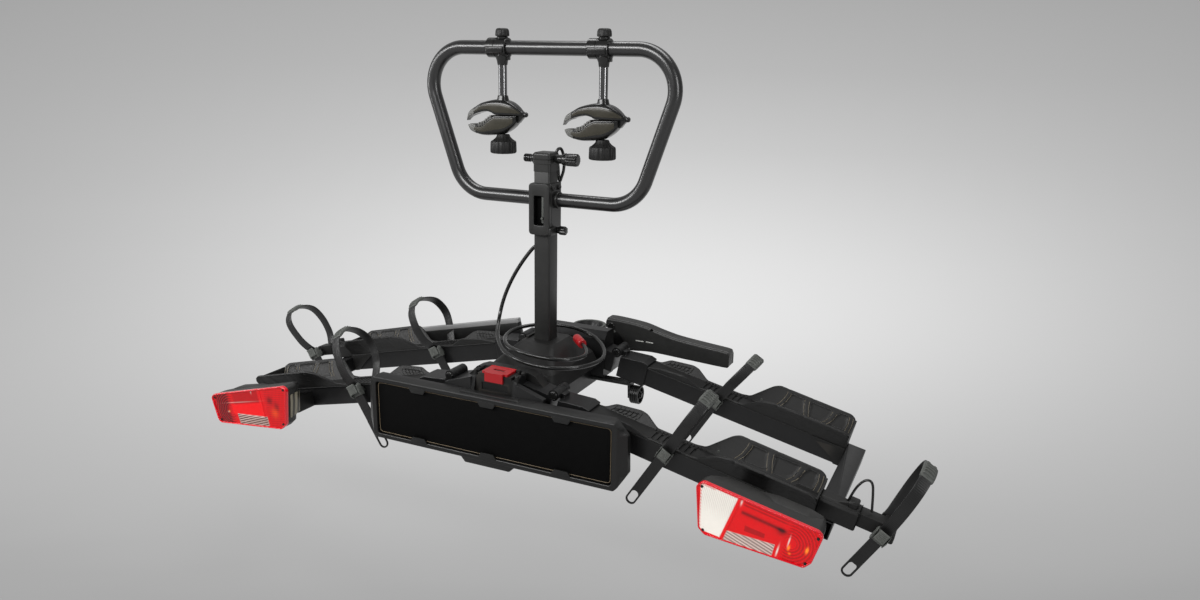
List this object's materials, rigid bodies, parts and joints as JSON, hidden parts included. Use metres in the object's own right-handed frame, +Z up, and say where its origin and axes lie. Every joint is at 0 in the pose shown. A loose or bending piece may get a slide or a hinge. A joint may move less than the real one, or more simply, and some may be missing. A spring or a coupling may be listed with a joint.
{
  "type": "towball bicycle rack",
  "caption": "Folding bicycle rack for a car's towball, with tilting platform, sliding wheel trays, ratchet straps, a frame-holding hoop with clamp arms, a number plate holder and rear lamps.",
  "frame": {"origin": "centre of the towball that the coupling closes on", "axes": "+X to the right seen from behind the car, +Y towards the car, +Z up"},
  "size_m": [1.63, 0.549, 0.897],
  "materials": {
    "cast_black": "satin black coated casting",
    "powder_coat": "satin black powder coat",
    "steel_pins": "zinc plated",
    "black_moulding": "fine grained moulding",
    "red_release": "glossy",
    "red_lens": "clear lens with prisms",
    "knob_plastic": "fine grained moulding",
    "cable_sheath": "glossy sheath",
    "strap_band": "toothed band",
    "grey_plastic": "ribbed moulding",
    "jaw_plastic": "glossy"
  },
  "bodies": {
    "coupling": {"coupling_housing": "cast_black", "spine_beam": "cast_black", "coupling_pins": "steel_pins"},
    "jaw": {"ball_jaw": "steel_pins"},
    "lever": {"lever": "black_moulding"},
    "platform": {"hub_frame": "cast_black", "hub_cover": "black_moulding", "mast_tube": "powder_coat", "mast_cap": "black_moulding", "lock_bolt": "knob_plastic", "latch_housing": "black_moulding", "plate_holder": "black_moulding", "trolley_brackets": "cast_black", "hinge_pins": "steel_pins", "security_cable": "cable_sheath", "cable_end_cap": "red_release"},
    "latch_button": {"latch_button": "red_release"},
    "latch_bolt": {"latch_bolt": "steel_pins"},
    "lock_knob": {"lock_knob": "knob_plastic"},
    "hoop": {"hoop_tube": "powder_coat", "hoop_bracket": "cast_black"},
    "bracket_knob": {"bracket_knob": "knob_plastic"},
    "right_trolley_wheel": {"right_trolley_wheel": "knob_plastic"},
    "right_wing": {"right_rail_frame": "powder_coat", "right_hinge_arms": "cast_black", "right_front_tray": "black_moulding", "right_rear_tray": "black_moulding", "right_lamp_housing": "black_moulding", "right_lamp_lens": "red_lens", "right_wheel_straps": "strap_band", "right_strap_fittings": "grey_plastic"},
    "right_extension": {"right_extension_bar": "black_moulding", "right_extension_strap": "strap_band", "right_extension_fittings": "grey_plastic"},
    "right_front_ratchet": {"right_front_ratchet": "grey_plastic"},
    "right_rear_ratchet": {"right_rear_ratchet": "grey_plastic"},
    "right_extension_ratchet": {"right_extension_ratchet": "grey_plastic"},
    "right_arm": {"right_clamp_arm": "jaw_plastic"},
    "right_lower_jaw": {"right_lower_jaw": "jaw_plastic"},
    "right_jaw_knob": {"right_jaw_knob": "knob_plastic"},
    "right_collar_knob": {"right_collar_knob": "knob_plastic"},
    "left_trolley_wheel": {"left_trolley_wheel": "knob_plastic"},
    "left_wing": {"left_rail_frame": "powder_coat", "left_hinge_arms": "cast_black", "left_front_tray": "black_moulding", "left_rear_tray": "black_moulding", "left_lamp_housing": "black_moulding", "left_lamp_lens": "red_lens", "left_wheel_straps": "strap_band", "left_strap_fittings": "grey_plastic"},
    "left_extension": {"left_extension_bar": "black_moulding", "left_extension_strap": "strap_band", "left_extension_fittings": "grey_plastic"},
    "left_front_ratchet": {"left_front_ratchet": "grey_plastic"},
    "left_rear_ratchet": {"left_rear_ratchet": "grey_plastic"},
    "left_extension_ratchet": {"left_extension_ratchet": "grey_plastic"},
    "left_arm": {"left_clamp_arm": "jaw_plastic"},
    "left_lower_jaw": {"left_lower_jaw": "jaw_plastic"},
    "left_jaw_knob": {"left_jaw_knob": "knob_plastic"},
    "left_collar_knob": {"left_collar_knob": "knob_plastic"}
  },
  "joints": [
    {"name": "ball_jaw_slide", "type": "slide", "parent": "coupling", "child": "jaw", "axis": [0, -1, 0], "range_m": [0, 0.004]},
    {"name": "lever_turn", "type": "hinge", "parent": "coupling", "child": "lever", "pos_m": [0.064, 0, 0.05], "axis": [0, -1, 0], "range_deg": [0, 95]},
    {"name": "platform_tilt", "type": "hinge", "parent": "coupling", "child": "platform", "pos_m": [0, -0.385, -0.065], "axis": [1, 0, 0], "range_deg": [0, 40]},
    {"name": "latch_button_turn", "type": "hinge", "parent": "platform", "child": "latch_button", "pos_m": [0, -0.3815, 0.05], "axis": [-1, 0, 0], "range_deg": [0, 15]},
    {"name": "latch_bolt_slide", "type": "slide", "parent": "platform", "child": "latch_bolt", "axis": [0, 0, 1], "range_m": [0, 0.008], "stiffness_N_per_m": 500, "springref_m": -0.01},
    {"name": "lock_knob_turn", "type": "hinge", "parent": "platform", "child": "lock_knob", "pos_m": [0, -0.212, 0.441], "axis": [1, 0, 0], "range_deg": [0, 90]},
    {"name": "hoop_slide", "type": "slide", "parent": "platform", "child": "hoop", "axis": [0, 0, 1], "range_m": [-0.01, 0.02]},
    {"name": "bracket_knob_turn", "type": "hinge", "parent": "hoop", "child": "bracket_knob", "pos_m": [0, -0.212, 0.298], "axis": [1, 0, 0], "continuous": true},
    {"name": "right_trolley_roll", "type": "hinge", "parent": "platform", "child": "right_trolley_wheel", "pos_m": [0.165, -0.102, -0.0695], "axis": [1, 0, 0], "continuous": true},
    {"name": "right_wing_fold", "type": "hinge", "parent": "platform", "child": "right_wing", "pos_m": [0.11684, -0.227, 0.01984], "axis": [0, -1, 0], "range_deg": [0, 80]},
    {"name": "right_extension_slide", "type": "slide", "parent": "right_wing", "child": "right_extension", "axis": [0.9751, 0, -0.2215], "range_m": [-0.012, 0.08]},
    {"name": "right_front_ratchet_turn", "type": "hinge", "parent": "right_wing", "child": "right_front_ratchet", "pos_m": [0.3463, -0.413, -0.051], "axis": [0.8499, 0, -0.527], "range_deg": [0, 60]},
    {"name": "right_rear_ratchet_turn", "type": "hinge", "parent": "right_wing", "child": "right_rear_ratchet", "pos_m": [0.3463, -0.123, -0.051], "axis": [0.8499, 0, -0.527], "range_deg": [0, 60]},
    {"name": "right_extension_ratchet_turn", "type": "hinge", "parent": "right_extension", "child": "right_extension_ratchet", "pos_m": [0.7278, -0.413, -0.11409], "axis": [0.8499, 0, -0.527], "range_deg": [0, 60]},
    {"name": "right_arm_swing", "type": "hinge", "parent": "hoop", "child": "right_arm", "pos_m": [0.122, -0.208, 0.653], "axis": [1, 0, 0], "range_deg": [-75, 75]},
    {"name": "right_jaw_turn", "type": "hinge", "parent": "right_arm", "child": "right_lower_jaw", "pos_m": [0.166, -0.208, 0.525], "axis": [0, 1, 0], "range_deg": [-12, 0]},
    {"name": "right_jaw_knob_turn", "type": "hinge", "parent": "right_lower_jaw", "child": "right_jaw_knob", "pos_m": [0.122, -0.208, 0.465], "axis": [0, 0, 1], "range_deg": [0, 1080]},
    {"name": "right_collar_knob_turn", "type": "hinge", "parent": "right_arm", "child": "right_collar_knob", "pos_m": [0.122, -0.208, 0.684], "axis": [0, 0, 1], "continuous": true},
    {"name": "left_trolley_roll", "type": "hinge", "parent": "platform", "child": "left_trolley_wheel", "pos_m": [-0.165, -0.102, -0.0695], "axis": [1, 0, 0], "continuous": true},
    {"name": "left_wing_fold", "type": "hinge", "parent": "platform", "child": "left_wing", "pos_m": [-0.11684, -0.227, 0.01984], "axis": [0, 1, 0], "range_deg": [0, 80]},
    {"name": "left_extension_slide", "type": "slide", "parent": "left_wing", "child": "left_extension", "axis": [-0.9751, 0, -0.2215], "range_m": [-0.012, 0.08]},
    {"name": "left_front_ratchet_turn", "type": "hinge", "parent": "left_wing", "child": "left_front_ratchet", "pos_m": [-0.3463, -0.413, -0.051], "axis": [0.8499, 0, 0.527], "range_deg": [0, 60]},
    {"name": "left_rear_ratchet_turn", "type": "hinge", "parent": "left_wing", "child": "left_rear_ratchet", "pos_m": [-0.3463, -0.123, -0.051], "axis": [0.8499, 0, 0.527], "range_deg": [0, 60]},
    {"name": "left_extension_ratchet_turn", "type": "hinge", "parent": "left_extension", "child": "left_extension_ratchet", "pos_m": [-0.7278, -0.123, -0.11409], "axis": [0.8499, 0, 0.527], "range_deg": [0, 60]},
    {"name": "left_arm_swing", "type": "hinge", "parent": "hoop", "child": "left_arm", "pos_m": [-0.101, -0.208, 0.653], "axis": [1, 0, 0], "range_deg": [-75, 75]},
    {"name": "left_jaw_turn", "type": "hinge", "parent": "left_arm", "child": "left_lower_jaw", "pos_m": [-0.057, -0.208, 0.525], "axis": [0, 1, 0], "range_deg": [-12, 0]},
    {"name": "left_jaw_knob_turn", "type": "hinge", "parent": "left_lower_jaw", "child": "left_jaw_knob", "pos_m": [-0.101, -0.208, 0.465], "axis": [0, 0, 1], "range_deg": [0, 1080]},
    {"name": "left_collar_knob_turn", "type": "hinge", "parent": "left_arm", "child": "left_collar_knob", "pos_m": [-0.101, -0.208, 0.684], "axis": [0, 0, 1], "continuous": true}
  ],
  "couplings": [
    {"joint": "ball_jaw_slide", "follows": "lever_turn", "m_per_rad": 0.00241},
    {"joint": "latch_button_turn", "follows": "latch_bolt_slide", "rad_per_m": 32.692},
    {"joint": "right_jaw_turn", "follows": "right_jaw_knob_turn", "ratio": -0.011111},
    {"joint": "left_jaw_turn", "follows": "left_jaw_knob_turn", "ratio": -0.011111}
  ]
}
